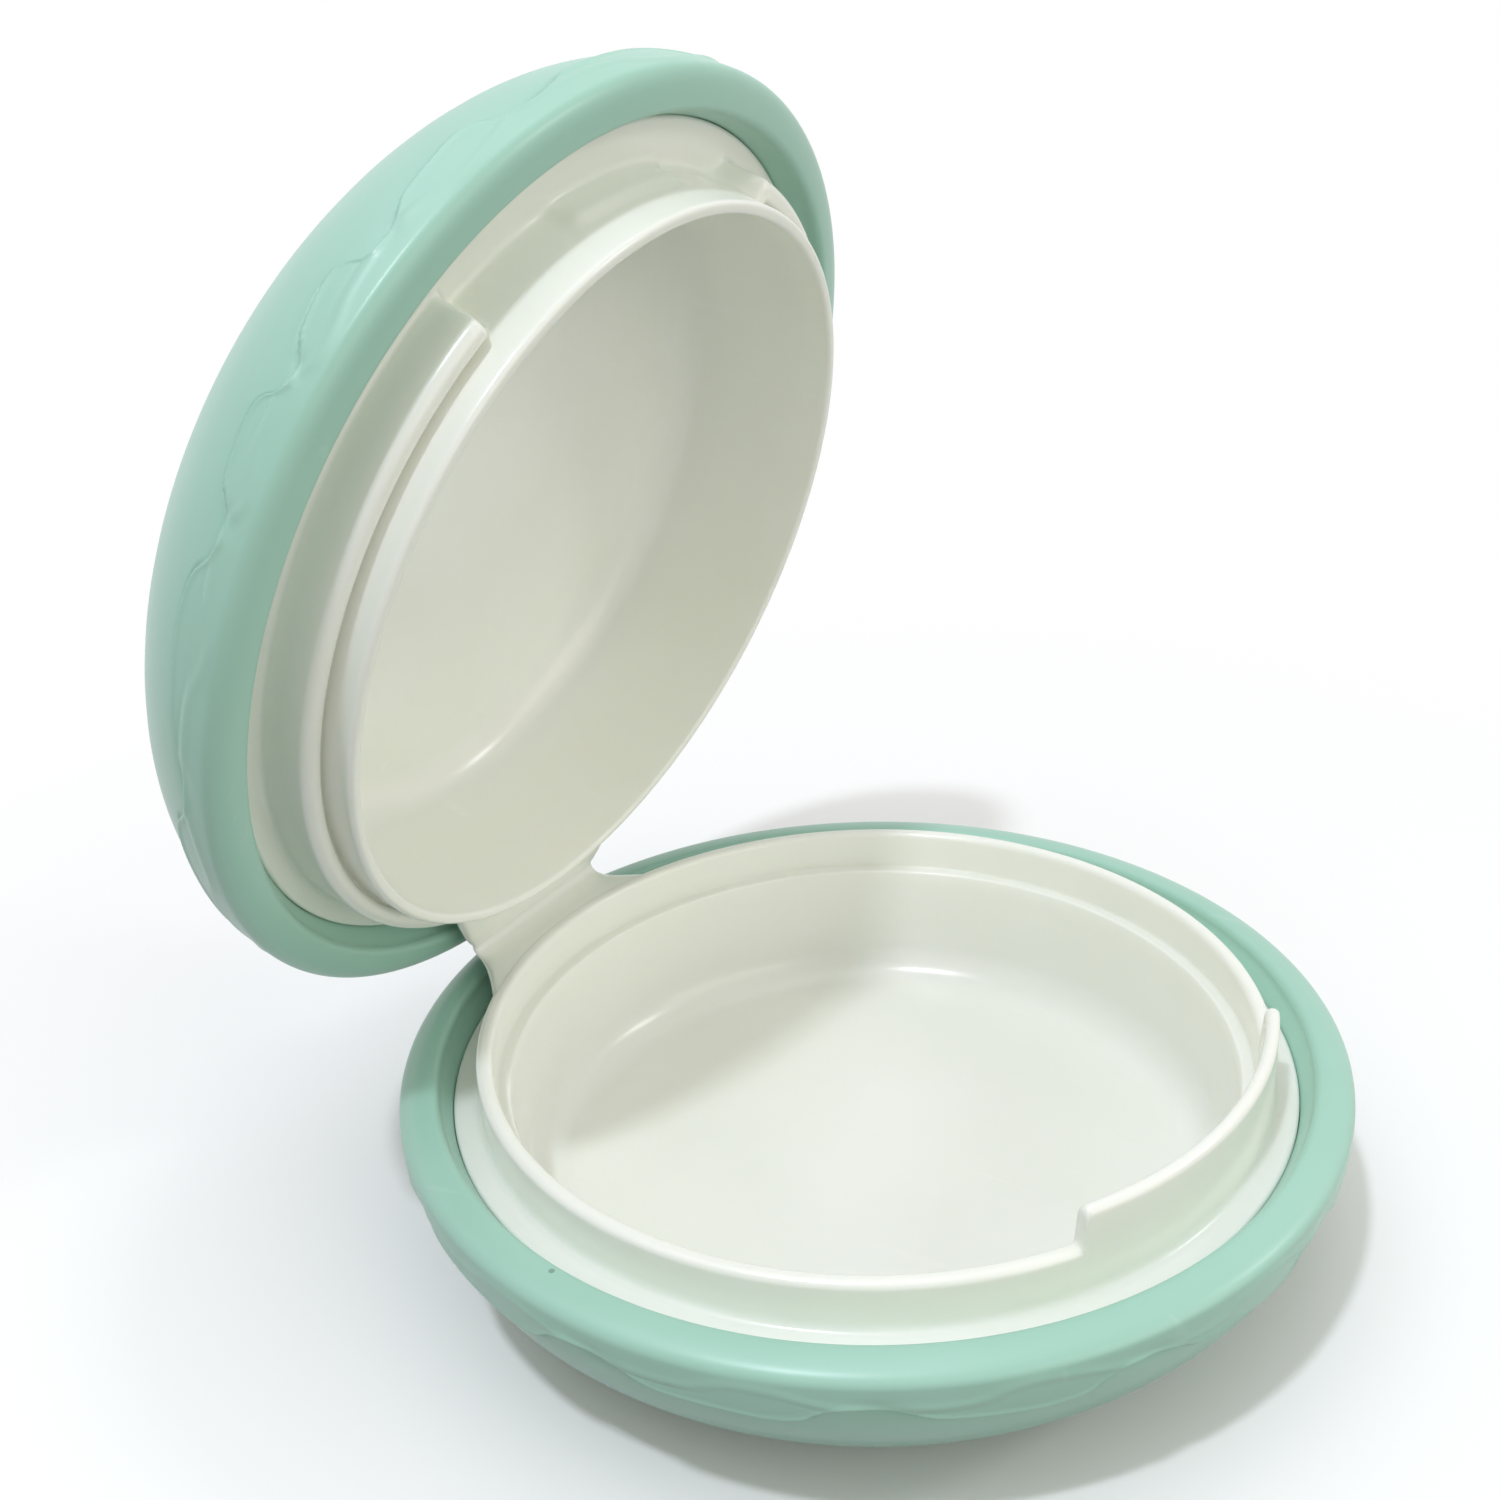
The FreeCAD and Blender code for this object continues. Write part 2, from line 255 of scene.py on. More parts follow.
def turned_mesh(name, turns, columns):
    """A closed solid of revolution whose outline may change from column to column.

    turns are in degrees from -Y towards +X; each column is a list of (radius, height) that starts and
    ends on the axis. The mesh is in metres, about the axis."""
    columns = np.asarray(columns, float) * MM
    turns = np.radians(turns)
    around, along = columns.shape[0], columns.shape[1] - 2
    radius = columns[:, 1:-1, 0]
    points = np.empty((around * along + 2, 3))
    points[:-2, 0] = (radius * np.sin(turns)[:, None]).ravel()
    points[:-2, 1] = (-radius * np.cos(turns)[:, None]).ravel()
    points[:-2, 2] = columns[:, 1:-1, 1].ravel()
    points[-2] = (0, 0, columns[0, 0, 1])
    points[-1] = (0, 0, columns[0, -1, 1])
    here = np.arange(around)[:, None] * along + np.arange(along - 1)[None, :]
    beside = np.roll(np.arange(around), -1)[:, None] * along + np.arange(along - 1)[None, :]
    quads = np.stack([here, beside, beside + 1, here + 1], axis=-1).reshape(-1, 4).tolist()
    first = np.arange(around) * along
    second = np.roll(first, -1)
    start, end = around * along, around * along + 1
    caps = [(start, int(b), int(a)) for a, b in zip(first, second)]
    caps += [(end, int(a), int(b)) for a, b in zip(first + along - 1, second + along - 1)]
    mesh = bpy.data.meshes.new(name)
    mesh.from_pydata(points.tolist(), [], quads + caps)
    return mesh


def on_base(points):
    """From a shell's own heights to the lower half's place."""
    return points + np.array((0, 0, RIM_Z))


def on_lid(points):
    """From a shell's own heights to the open lid's place: turned over, then swung about the fold."""
    closed = points * np.array((1, 1, -1)) + np.array((0, 0, RIM_Z + CLOSED_GAP * MM))
    swing = np.array(Matrix.Rotation(math.radians(-LID_OPEN), 3, "X"))
    return (closed - np.array(HINGE)) @ swing.T + np.array(HINGE)


def settled(mesh, place):
    """Move a mesh to its place and make its faces point outwards, shaded smooth."""
    points = np.empty(len(mesh.vertices) * 3)
    mesh.vertices.foreach_get("co", points)
    mesh.vertices.foreach_set("co", place(points.reshape(-1, 3)).ravel())
    solid = bmesh.new()
    solid.from_mesh(mesh)
    bmesh.ops.recalc_face_normals(solid, faces=solid.faces)
    solid.to_mesh(mesh)
    solid.free()
    mesh.shade_smooth()
    return mesh


def piece(name, mesh, material):
    """A mesh as an object of the scene, in one material."""
    shape = bpy.data.objects.new(name, mesh)
    bpy.context.scene.collection.objects.link(shape)
    mesh.materials.clear()
    mesh.materials.append(material)
    return shape


# Nodes
def wired(tree, kind, inputs=None, **settings):
    """Add a node with its settings, and feed its inputs with values or other nodes' outputs."""
    node = tree.nodes.new(kind)
    for key, value in settings.items():
        setattr(node, key, value)
    for key, value in (inputs or {}).items():
        socket = node.inputs[key]
        if isinstance(value, bpy.types.NodeSocket):
            tree.links.new(value, socket)
        else:
            socket.default_value = value
    return node


def sums(tree, operation, *values):
    """The result of one Math node."""
    return wired(tree, "ShaderNodeMath", dict(enumerate(values)), operation=operation).outputs[0]


def vectors(tree, operation, first, second=None):
    """The vector result of one Vector Math node, where Scale takes a number second."""
    inputs = {0: first}
    if second is not None:
        inputs[3 if operation == "SCALE" else 1] = second
    return wired(tree, "ShaderNodeVectorMath", inputs, operation=operation).outputs[0]


def remapped(tree, value, low, high, to_low=0.0, to_high=1.0):
    """A value eased from one range to another."""
    inputs = {"Value": value, "From Min": low, "From Max": high, "To Min": to_low, "To Max": to_high}
    return wired(tree, "ShaderNodeMapRange", inputs, interpolation_type="SMOOTHSTEP").outputs[0]


def blended(tree, share, first, second):
    """One colour Mix node."""
    return wired(tree, "ShaderNodeMix", {0: share, 6: first, 7: second}, data_type="RGBA").outputs[2]


def noise(tree, place, scale, detail, **more):
    """The value of one Noise Texture node."""
    inputs = {"Vector": place, "Scale": scale, "Detail": detail, **more}
    return wired(tree, "ShaderNodeTexNoise", inputs).outputs[0]


def attribute(tree, name):
    """A number that each point of the mesh carries."""
    return wired(tree, "GeometryNodeInputNamedAttribute", {"Name": name}, data_type="FLOAT").outputs[0]


def measured(tree, value, centre, width):
    """How many widths a value is from a centre."""
    return sums(tree, "DIVIDE", sums(tree, "SUBTRACT", value, centre), width)


def bell(tree, *values):
    """1 where all the values are 0, fading smoothly to nothing away from there."""
    total = sums(tree, "MULTIPLY", values[0], values[0])
    for value in values[1:]:
        total = sums(tree, "ADD", total, sums(tree, "MULTIPLY", value, value))
    return sums(tree, "EXPONENT", sums(tree, "MULTIPLY", total, -1.0))


# Shells with their ruffled bands
def ruffle_tree():
    """Points of the flank move out above an uneven scalloped line, with a rolled edge along it."""
    tree = bpy.data.node_groups.new("ruffled_flank", "GeometryNodeTree")
    tree.interface.new_socket("Shell", in_out="INPUT", socket_type="NodeSocketGeometry")
    tree.interface.new_socket("Phase", in_out="INPUT", socket_type="NodeSocketString")
    for label in ("Flank centre", "Line depth", "Scallop depth", "Proud", "Softness", "Roll", "Groove",
                  "Dimple", "Variation", "Seed"):
        tree.interface.new_socket(label, in_out="INPUT", socket_type="NodeSocketFloat")
    tree.interface.new_socket("Material", in_out="INPUT", socket_type="NodeSocketMaterial")
    tree.interface.new_socket("Shell", in_out="OUTPUT", socket_type="NodeSocketGeometry")
    given = tree.nodes.new("NodeGroupInput").outputs

    place = tree.nodes.new("GeometryNodeInputPosition").outputs[0]
    parts = wired(tree, "ShaderNodeSeparateXYZ", {0: place}).outputs
    flat = wired(tree, "ShaderNodeCombineXYZ", {0: parts[0], 1: parts[1]}).outputs[0]
    centre = vectors(tree, "SCALE", vectors(tree, "NORMALIZE", flat), given["Flank centre"])
    away = vectors(tree, "NORMALIZE", vectors(tree, "SUBTRACT", place, centre))

    # Height of each point above the scalloped line
    phase = attribute(tree, given["Phase"])
    part = sums(tree, "FRACT", phase)
    wave = wired(tree, "ShaderNodeFloatCurve", {"Value": part})
    curve = wave.mapping.curves[0]
    curve.points[0].location = SCALLOP_CURVE[0]
    curve.points[-1].location = SCALLOP_CURVE[-1]
    for spot in SCALLOP_CURVE[1:-1]:
        curve.points.new(*spot)
    wave.mapping.update()
    drift = sums(tree, "ADD", sums(tree, "MULTIPLY", phase, SCALLOP_DRIFT), given["Seed"])
    uneven = wired(tree, "ShaderNodeTexNoise", {"W": drift, "Scale": 1.0}, noise_dimensions="1D").outputs[0]
    spread = sums(tree, "MULTIPLY", sums(tree, "SUBTRACT", uneven, 0.5), given["Variation"])
    share = sums(tree, "ADD", wave.outputs[0], spread)
    depth = sums(tree, "ADD", given["Line depth"], sums(tree, "MULTIPLY", share, given["Scallop depth"]))
    above = sums(tree, "ADD", parts[2], depth)

    # The step out, the rolled edge on it, the crease under it and the dimple where a scallop begins
    rise = sums(tree, "MULTIPLY", remapped(tree, above, 0.0, given["Softness"]), given["Proud"])
    roll = bell(tree, measured(tree, above, given["Softness"], given["Softness"]))
    rise = sums(tree, "ADD", rise, sums(tree, "MULTIPLY", roll, given["Roll"]))
    crease = bell(tree, measured(tree, above, CREASE_AT * MM, CREASE_WIDTH * MM))
    crease = sums(tree, "MULTIPLY", crease, wave.outputs[0])
    rise = sums(tree, "SUBTRACT", rise, sums(tree, "MULTIPLY", crease, given["Groove"]))
    beside = measured(tree, part, DIMPLE_PART, DIMPLE_SPAN)
    dent = bell(tree, beside, measured(tree, above, DIMPLE_AT * MM, DIMPLE_WIDTH * MM))
    rise = sums(tree, "SUBTRACT", rise, sums(tree, "MULTIPLY", dent, given["Dimple"]))

    push = vectors(tree, "SCALE", away, sums(tree, "MULTIPLY", rise, attribute(tree, "flank")))
    moved = wired(tree, "GeometryNodeSetPosition", {"Geometry": given["Shell"], "Offset": push}).outputs[0]
    whole = wired(tree, "GeometryNodeRealizeInstances", {0: moved}).outputs[0]
    dressed = wired(tree, "GeometryNodeSetMaterial", {"Geometry": whole, "Material": given["Material"]})
    tree.links.new(dressed.outputs[0], tree.nodes.new("NodeGroupOutput").inputs[0])
    return tree


def ruffled(shape, tree, values):
    """Add the ruffle tree to a shell, with its inputs set by their identifiers."""
    modifier = shape.modifiers.new("ruffle", "NODES")
    modifier.node_group = tree
    for item in tree.interface.items_tree:
        if item.in_out == "INPUT" and item.name in values:
            modifier[item.identifier] = values[item.name]


def shell_outline():
    """Outline of a shell from the middle of its foot, up the outside, over the lip and back inside.

    Also gives how many of its points are on the outside, and the radius of the flank's centre."""
    flank_c = SHELL_R - BAND_PROUD - FLANK_R
    reach = flank_c - FOOT_R
    drop = SHELL_DEPTH - FLANK_R
    crown = (reach ** 2 + SHELL_DEPTH ** 2 - FLANK_R ** 2) / (2 * drop)
    crown_c = (FOOT_R, crown - SHELL_DEPTH)
    joint = -math.degrees(math.atan2(crown_c[1], reach))
    outside = line((0, -SHELL_DEPTH), (FOOT_R - FOOT_EASE, -SHELL_DEPTH), 4)
    outside += arc(crown_c, crown, -90, joint, 14)
    outside += arc((flank_c, 0), FLANK_R, joint, BAND_LOW, 13)[1:]
    outside += arc((flank_c, 0), FLANK_R, BAND_LOW, BAND_HIGH, BAND_ROWS)[1:]
    outside += arc((flank_c, 0), FLANK_R, BAND_HIGH, 0, 6)[1:]
    lip_r = BORE_R + BORE_DRAFT + LIP_EDGE
    turns = np.linspace(0, math.pi / 2, 18)[1:]
    lip = [(lip_r + (SHELL_R - lip_r) * math.cos(t), LIP_RISE * math.sin(t)) for t in turns]
    lip += arc((lip_r, LIP_RISE - LIP_EDGE), LIP_EDGE, 90, 176, 9)[1:]
    bore = line((BORE_R + BORE_DRAFT, BORE_TOP), (BORE_R, FLANGE_Z - CORNER), 5)
    bore += [(BORE_R, SEAT_Z + CORNER), (BORE_R - CORNER, SEAT_Z), (SEAT_R, SEAT_Z)]
    inside_turn = -math.degrees(math.acos((SEAT_R - FOOT_R) / (crown - SHELL_WALL)))
    hollow = arc(crown_c, crown - SHELL_WALL, inside_turn, -90, 12)
    hollow += line((FOOT_R, SHELL_WALL - SHELL_DEPTH), (0, SHELL_WALL - SHELL_DEPTH), 3)[1:]
    return outside + lip + bore + hollow, len(outside), flank_c


def scallop_phase(turns, starts):
    """How many scallops lie before each turn; the fraction is the place within one scallop."""
    starts = sorted(starts)
    around = (np.asarray(turns) - starts[0]) % 360
    knots = [s - starts[0] for s in starts] + [360]
    return np.interp(around, knots, range(len(knots)))


def shell_turns(starts):
    """Turns of a shell's columns, closer together where a scallop sinks and closest where it comes back."""
    starts = sorted(starts)
    turns = []
    for first, last in zip(starts, starts[1:] + [starts[0] + 360]):
        sunk = first + SCALLOP_SINK * (last - first)
        back = last - SCALLOP_RETURN * (last - first)
        for low, high, count in (
            (first, sunk, round((sunk - first) / SINK_STEP)),
            (sunk, back, round((back - sunk) / MIDDLE_STEP)),
            (back, last, RETURN_COLUMNS),
        ):
            turns += list(np.linspace(low, high, count, endpoint=False))
    return np.array(turns)


def shell(name, place, starts, seed, tree, material):
    """A shell, with its band and ridge moved out by the ruffle tree and then made plain mesh."""
    outline, outside, flank_c = shell_outline()
    turns = shell_turns(starts)
    mesh = turned_mesh(name, turns, [outline] * len(turns))
    rows = len(outline) - 2
    flank = np.zeros((len(turns), rows))
    flank[:, :outside - 1] = 1
    phase = np.repeat(scallop_phase(turns, starts), rows)
    second = np.repeat(scallop_phase(turns + RIDGE_TURN, starts), rows)
    for label, values in (("flank", flank.ravel()), ("scallop", phase), ("ridge", second)):
        layer = mesh.attributes.new(label, "FLOAT", "POINT")
        layer.data.foreach_set("value", np.append(values, (0, 0)).astype(np.float32))
    shape = piece(name, mesh, material)
    for label, sizes, variation, start in (
        ("scallop", BAND, BAND_VARIATION, seed),
        ("ridge", RIDGE, RIDGE_VARIATION, seed + RIDGE_SEED),
    ):
        values = {key: size * MM for key, size in sizes.items()}
        values.update({"Flank centre": flank_c * MM, "Variation": variation, "Seed": start})
        ruffled(shape, tree, {**values, "Phase": label, "Material": material})
    graph = bpy.context.evaluated_depsgraph_get()
    final = bpy.data.meshes.new_from_object(shape.evaluated_get(graph))
    shape.modifiers.clear()
    shape.data = settled(final, place)
    final.name = name
    return shape


# White mouldings
def dish_inside(foot_r, depth, top):
    """From the middle of a dish's floor to the top of its drafted wall."""
    lean = (top[0] - foot_r) / (top[1] + depth)
    centre = (foot_r - FLOOR_FILLET + lean * FLOOR_FILLET, -depth + FLOOR_FILLET)
    floor = line((0, -depth), (centre[0] - FLOOR_EASE, -depth), 8)
    rise = arc(centre, FLOOR_FILLET, -90, -math.degrees(math.atan(lean)), 14)
    return floor + rise + line(rise[-1], top, 8)[1:]


def dish_outside(foot_r, depth, top_r):
    """From the flange's edge under it, down the skirt and along the bottom to the axis."""
    outer = FLOOR_FILLET + MOULD_WALL
    skirt_r = foot_r + MOULD_WALL
    base_z = -depth - MOULD_WALL
    rows = arc((FLANGE_R - FLANGE_EDGE, FLANGE_Z - FLANGE_EDGE), FLANGE_EDGE, 90, 0, 5)
    rows += [(FLANGE_R, FLANGE_Z - 2 * FLANGE_EDGE), (FLANGE_R, SEAT_Z + CORNER), (FLANGE_R - CORNER, SEAT_Z)]
    rows += [(top_r + SKIRT_EASE, SEAT_Z), (top_r, SEAT_Z - SKIRT_EASE)]
    rows += arc((skirt_r - outer, base_z + outer), outer, 0, -90, 12)
    return rows + line((rows[-1][0] - BASE_EASE, base_z), (0, base_z), 4)


def tab_columns():
    """Turns round the tray with the tab's rise at each: a soft foot, a steep end, a round shoulder."""
    per_mm = math.degrees(1 / RING_R)
    foot = np.radians((0, 20, 40, 60, 80))
    shoulder = np.radians((6, 22, 38, 54, 70, 82, 90))
    end = [(-TAB_FOOT + TAB_FOOT * math.sin(t), TAB_FOOT - TAB_FOOT * math.cos(t)) for t in foot]
    end += TAB_STEEP
    end += [(TAB_END - TAB_SHOULDER * math.cos(t), TAB_RISE - TAB_SHOULDER + TAB_SHOULDER * math.sin(t))
            for t in shoulder]
    low, high = CLASP_TURN - TAB_HALF, CLASP_TURN + TAB_HALF
    left = [(low + s * per_mm, h) for s, h in end]
    right = [(high - s * per_mm, h) for s, h in reversed(end)]
    inside = [(t, TAB_RISE) for t in np.linspace(left[-1][0], right[0][0], 42)[1:-1]]
    around = [(t, 0.0) for t in np.linspace(right[-1][0], left[0][0] + 360, 232)[1:-1]]
    return left + inside + right + around


def tray_outline(rise):
    """Outline of the tray where its ring wall is raised by rise."""
    inner = RING_IN + TAB_THIN * rise / TAB_RISE
    top = RING_TOP + rise
    outline = dish_inside(TRAY_FOOT_R, TRAY_DEPTH, TRAY_WALL_TOP)
    outline += arc((LEDGE_R + LEDGE_ROUND, LEDGE_Z - LEDGE_ROUND), LEDGE_ROUND, 170, 90, 5)
    outline += [(r, LEDGE_Z) for r in np.linspace(*LEDGE_FLAT, 3)]
    outline += arc((RING_IN - LEDGE_FILLET, LEDGE_Z + LEDGE_FILLET), LEDGE_FILLET, -75, 0, 5)
    outline += [(RING_IN, z) for z in np.linspace(*RING_WALL_IN, 4)]
    outline += line(((RING_IN + inner) / 2, TAB_FROM), (inner, top - RING_ROUND_IN - CORNER), 4)
    outline += arc((inner + RING_ROUND_IN, top - RING_ROUND_IN), RING_ROUND_IN, 180, 90, 8)
    outline += arc((RING_R - RING_ROUND_OUT, top - RING_ROUND_OUT), RING_ROUND_OUT, 90, 0, 8)
    outline += line((RING_R, top - RING_ROUND_OUT - ROW_GAP), (RING_R, CORNER), 7)
    outline += arc((RING_R + RING_FOOT, FLANGE_Z + RING_FOOT), RING_FOOT, 180, 270, 8)
    outline += line((RING_R + RING_FOOT + ROW_GAP, FLANGE_Z), (FLANGE_FLAT, FLANGE_Z), 3)
    return outline + dish_outside(TRAY_FOOT_R, TRAY_DEPTH, LEDGE_R + MOULD_WALL)


def dished_tray(material):
    """The tray with its thumb tab."""
    columns = tab_columns()
    mesh = turned_mesh("dished_tray", [t for t, _ in columns], [tray_outline(h) for _, h in columns])
    return piece("dished_tray", settled(mesh, on_base), material)


def collar_rows(groove):
    """The beaded stop collar, from the spigot's wall to the flange, with a share of the groove's depth."""
    low = COLLAR_TOP - (COLLAR_TOP - GROOVE_Z) * groove
    bead = arc((SPIGOT_R + COLLAR_BEAD_OUT, COLLAR_TOP - COLLAR_BEAD), COLLAR_BEAD, 180, 90, 7)
    rows = line((SPIGOT_R, GROOVE_TOP), (SPIGOT_R, min(GROOVE_LIP, low + GROOVE_EASE)), 3)
    rows += [(SPIGOT_R + out, low + up * groove) for out, up in zip(GROOVE_FLOOR, (0, 0, CORNER))]
    rows += [(r, max(z, low)) for r, z in bead]
    rows += arc((COLLAR_R - COLLAR_ROUND, COLLAR_TOP - COLLAR_ROUND), COLLAR_ROUND, 90, 0, 9)
    rows += [(COLLAR_R, z) for z in np.linspace(*COLLAR_WALL, 5)]
    return rows + arc((COLLAR_R + COLLAR_FOOT, FLANGE_Z + COLLAR_FOOT), COLLAR_FOOT, 180, 270, 7)


def gap_rows():
    """The bare spigot wall and flange where the thumb tab goes."""
    rows = line((SPIGOT_R, COLLAR_TOP), (SPIGOT_R, 0.0), 17)
    rows += arc((SPIGOT_R + SPIGOT_FOOT, FLANGE_Z + SPIGOT_FOOT), SPIGOT_FOOT, 180, 270, 10)
    return rows + line((SPIGOT_R + GAP_FLAT, FLANGE_Z), (COLLAR_R + COLLAR_FOOT, FLANGE_Z), 7)


def bump_rows():
    """The snap bump low on the spigot's wall, which the thumb tab clicks over."""
    rows = line((SPIGOT_R, COLLAR_TOP), (SPIGOT_R, BUMP_HEAD), 5)
    rows += [(SPIGOT_R + (BUMP_R - SPIGOT_R) * out, BUMP_TOP + up) for out, up in BUMP_STEP]
    rows += [(BUMP_R, z) for z in np.linspace(*BUMP_WALL, 11)]
    rows += arc((BUMP_R + BUMP_FOOT, FLANGE_Z + BUMP_FOOT), BUMP_FOOT, 180, 270, 8)
    return rows + line((BUMP_R + BUMP_FLAT, FLANGE_Z), (COLLAR_R + COLLAR_FOOT, FLANGE_Z), 3)


def clasp_columns():
    """Turns round the liner, each with how much of the collar, the snap bump and the groove is there."""
    per_mm = math.degrees(1 / COLLAR_R)
    gap = TAB_HALF + GAP_CLEAR * per_mm
    spots = (0.0, 0.012, 0.04, 0.09, 0.17, 0.28, 0.42, 0.56, COLLAR_STEEP_END)
    steep = [(s, math.sqrt(1 - (1 - s / COLLAR_STEEP_END) ** 2)) for s in spots]
    ramp = [(s, 0.5 - 0.5 * math.cos(math.pi * s / BUMP_RAMP)) for s in np.linspace(0, BUMP_RAMP, 10)]
    fade = np.linspace(0, GROOVE_FADE, 9)[1:]
    rise = BUMP_RAMP * per_mm
    left, right = CLASP_TURN - gap, CLASP_TURN + gap - COLLAR_EASED_BACK * per_mm
    columns = [(left - s * per_mm, c, 0.0, 1.0) for s, c in reversed(steep)]
    columns += [(t, 0.0, 0.0, 1.0) for t in np.linspace(left, BUMP_LOW, 18)[1:-1]]
    columns += [(BUMP_LOW + s * per_mm, 0.0, b, 0.0) for s, b in ramp]
    columns += [(t, 0.0, 1.0, 0.0) for t in np.linspace(BUMP_LOW + rise, BUMP_HIGH - rise, 20)[1:-1]]
    columns += [(BUMP_HIGH - s * per_mm, 0.0, b, 0.0) for s, b in reversed(ramp)]
    columns += [(t, 0.0, 0.0, 0.0) for t in np.linspace(BUMP_HIGH, right, 12)[1:-1]]
    columns += [(right + s * per_mm, c, 0.0, 0.0) for s, c in COLLAR_EASED]
    columns += [(right + (COLLAR_EASED_END + s) * per_mm, 1.0, 0.0, s / GROOVE_FADE) for s in fade]
    first, last = columns[-1][0], columns[0][0] + 360
    return columns + [(t, 1.0, 0.0, 1.0) for t in np.linspace(first, last, 240)[1:-1]]


def liner_outline(collar, bump, groove):
    """Outline of the lid's dish, with a share of the collar, the snap bump and the groove."""
    wall_in, wall_out = SPIGOT_TOP - SPIGOT_ROUND_IN, SPIGOT_TOP - SPIGOT_ROUND_OUT
    outline = dish_inside(LINER_FOOT_R, LINER_DEPTH, (SPIGOT_IN, wall_in - CORNER))
    outline += arc((SPIGOT_IN + SPIGOT_ROUND_IN, wall_in), SPIGOT_ROUND_IN, 180, 90, 6)
    outline += arc((SPIGOT_R - SPIGOT_ROUND_OUT, wall_out), SPIGOT_ROUND_OUT, 90, 0, 7)
    outline += line((SPIGOT_R, wall_out - ROW_GAP), (SPIGOT_R, SPIGOT_LOW), 4)
    bare, beaded, bumped = (np.array(rows) for rows in (gap_rows(), collar_rows(groove), bump_rows()))
    rows = bare + (beaded - bare) * collar + (bumped - bare) * bump
    outline += [tuple(p) for p in rows]
    outline += line((COLLAR_FLAT, FLANGE_Z), (FLANGE_FLAT, FLANGE_Z), 3)
    return outline + dish_outside(LINER_FOOT_R, LINER_DEPTH, SPIGOT_IN + MOULD_WALL)


def lid_dish(material):
    """The lid's dish with its spigot, collar and snap bump."""
    columns = clasp_columns()
    mesh = turned_mesh("lid_dish", [c[0] for c in columns], [liner_outline(*c[1:]) for c in columns])
    return piece("lid_dish", settled(mesh, on_lid), material)


def strap_rings():
    """Closed rings of points along the strap, from the tray's ring round the fold to the lid's collar."""
    fold = np.array((HINGE.y, HINGE.z)) / MM - np.array((0, RIM_Z / MM))
    turn = math.radians(-LID_OPEN)
    swing = np.array(((math.cos(turn), -math.sin(turn)), (math.sin(turn), math.cos(turn))))
    lid_side = [fold + swing @ (np.array(p) - fold) for p in STRAP_LID]
    path = spline(list(STRAP_TRAY) + lid_side, STRAP_ROWS)
    thick = spline(STRAP_THICK, STRAP_ROWS)
    along = np.gradient(path, axis=0)
    along /= np.linalg.norm(along, axis=1)[:, None]
    under = np.stack([along[:, 1], -along[:, 0]], axis=1)
    share = np.linspace(0, 1, STRAP_ROWS)
    near_tray = np.clip(1 - share / TRAY_REACH, 0, 1)
    at_tray = near_tray ** SAG_POWER
    at_lid = np.clip(1 - (1 - share) / LID_REACH, 0, 1) ** SAG_POWER
    root = near_tray ** TRAY_FLARE_POWER
    end = LID_FLARE * np.clip((share - LID_FLARE_FROM) / TRAY_REACH, 0, 1) ** LID_FLARE_POWER
    left = STRAP_SHIFT - STRAP_HALF - TRAY_FLARE[0] * root - end
    right = STRAP_SHIFT + STRAP_HALF + TRAY_FLARE[1] * root + end
    lid_out = swing @ np.array((1.0, 0.0))
    ease = [1 - math.sqrt(1 - (1 - s / STRAP_SIDES[-1]) ** 2) for s in STRAP_SIDES]
    sides = np.array(STRAP_SIDES)
    rings = []
    for row in range(STRAP_ROWS):
        middle = np.linspace(left[row] + sides[-1], right[row] - sides[-1], STRAP_COLUMNS)[1:-1]
        across = np.concatenate([left[row] + sides, middle, right[row] - sides[::-1]])
        thin = ease + [0.0] * len(middle) + ease[::-1]
        top, low = [], []
        for x, e in zip(across, thin):
            sag = STRAP_ROOT_R - math.sqrt(STRAP_ROOT_R ** 2 - x ** 2)
            spot = path[row] - np.array((sag * at_tray[row], 0)) - lid_out * sag * at_lid[row]
            edge = thick[row] / 2 * e
            top.append((x, *(spot + under[row] * edge)))
            low.append((x, *(spot + under[row] * (thick[row] - edge))))
        rings.append(top + low[-2:0:-1])
    return rings


def folding_strap(material):
    """One strip of the white plastic, closed at both ends."""
    rings = strap_rings()
    count = len(rings[0])
    faces = []
    for row in range(STRAP_ROWS - 1):
        for i in range(count):
            j = (i + 1) % count
            faces.append((row * count + i, row * count + j, (row + 1) * count + j, (row + 1) * count + i))
    for first in (0, (STRAP_ROWS - 1) * count):
        for i in range(count // 2):
            corners = dict.fromkeys((i, i + 1, (count - i - 1) % count, (count - i) % count))
            faces.append([first + corner for corner in corners])
    points = np.array(rings).reshape(-1, 3) * MM
    mesh = bpy.data.meshes.new("folding_strap")
    mesh.from_pydata(points.tolist(), [], faces)
    return piece("folding_strap", settled(mesh, on_base), material)


# Finishes: display colours of the plain plastic, its second tint, its scuffs and its specks
MINT = (tinted(165, 208, 192), tinted(160, 204, 187), tinted(182, 219, 205), tinted(92, 118, 104))
MILK = (tinted(243, 245, 238), tinted(240, 242, 233), tinted(248, 249, 245), tinted(130, 126, 114))
SHINE = 0.5
MILKY = {"Specular IOR Level": SHINE, "Subsurface Weight": 0.4, "Subsurface Scale": 0.9 * MM,
         "Subsurface Radius": (1.0, 0.95, 0.8)}
RIPPLE_SCALE = 130.0
RIPPLE_SHARE = 1.6
GRAIN_SCALE = 3800.0
CLOUD_SCALE = 55.0
CLOUD_GLOSS = 0.08
SPECK_CELLS = 190.0
SPECK_SIZE = (0.02, 0.042)
SPECK_SHARE = 0.13
SCUFF_TURN = (0.5, 0.3, 0.9)
SCUFF_SCALE = (900.0, 90.0, 420.0)
SCUFF_RANGE = (0.69, 0.76)
SCUFF_GLOSS = 0.08
TINT_RANGE = (0.3, 0.7)
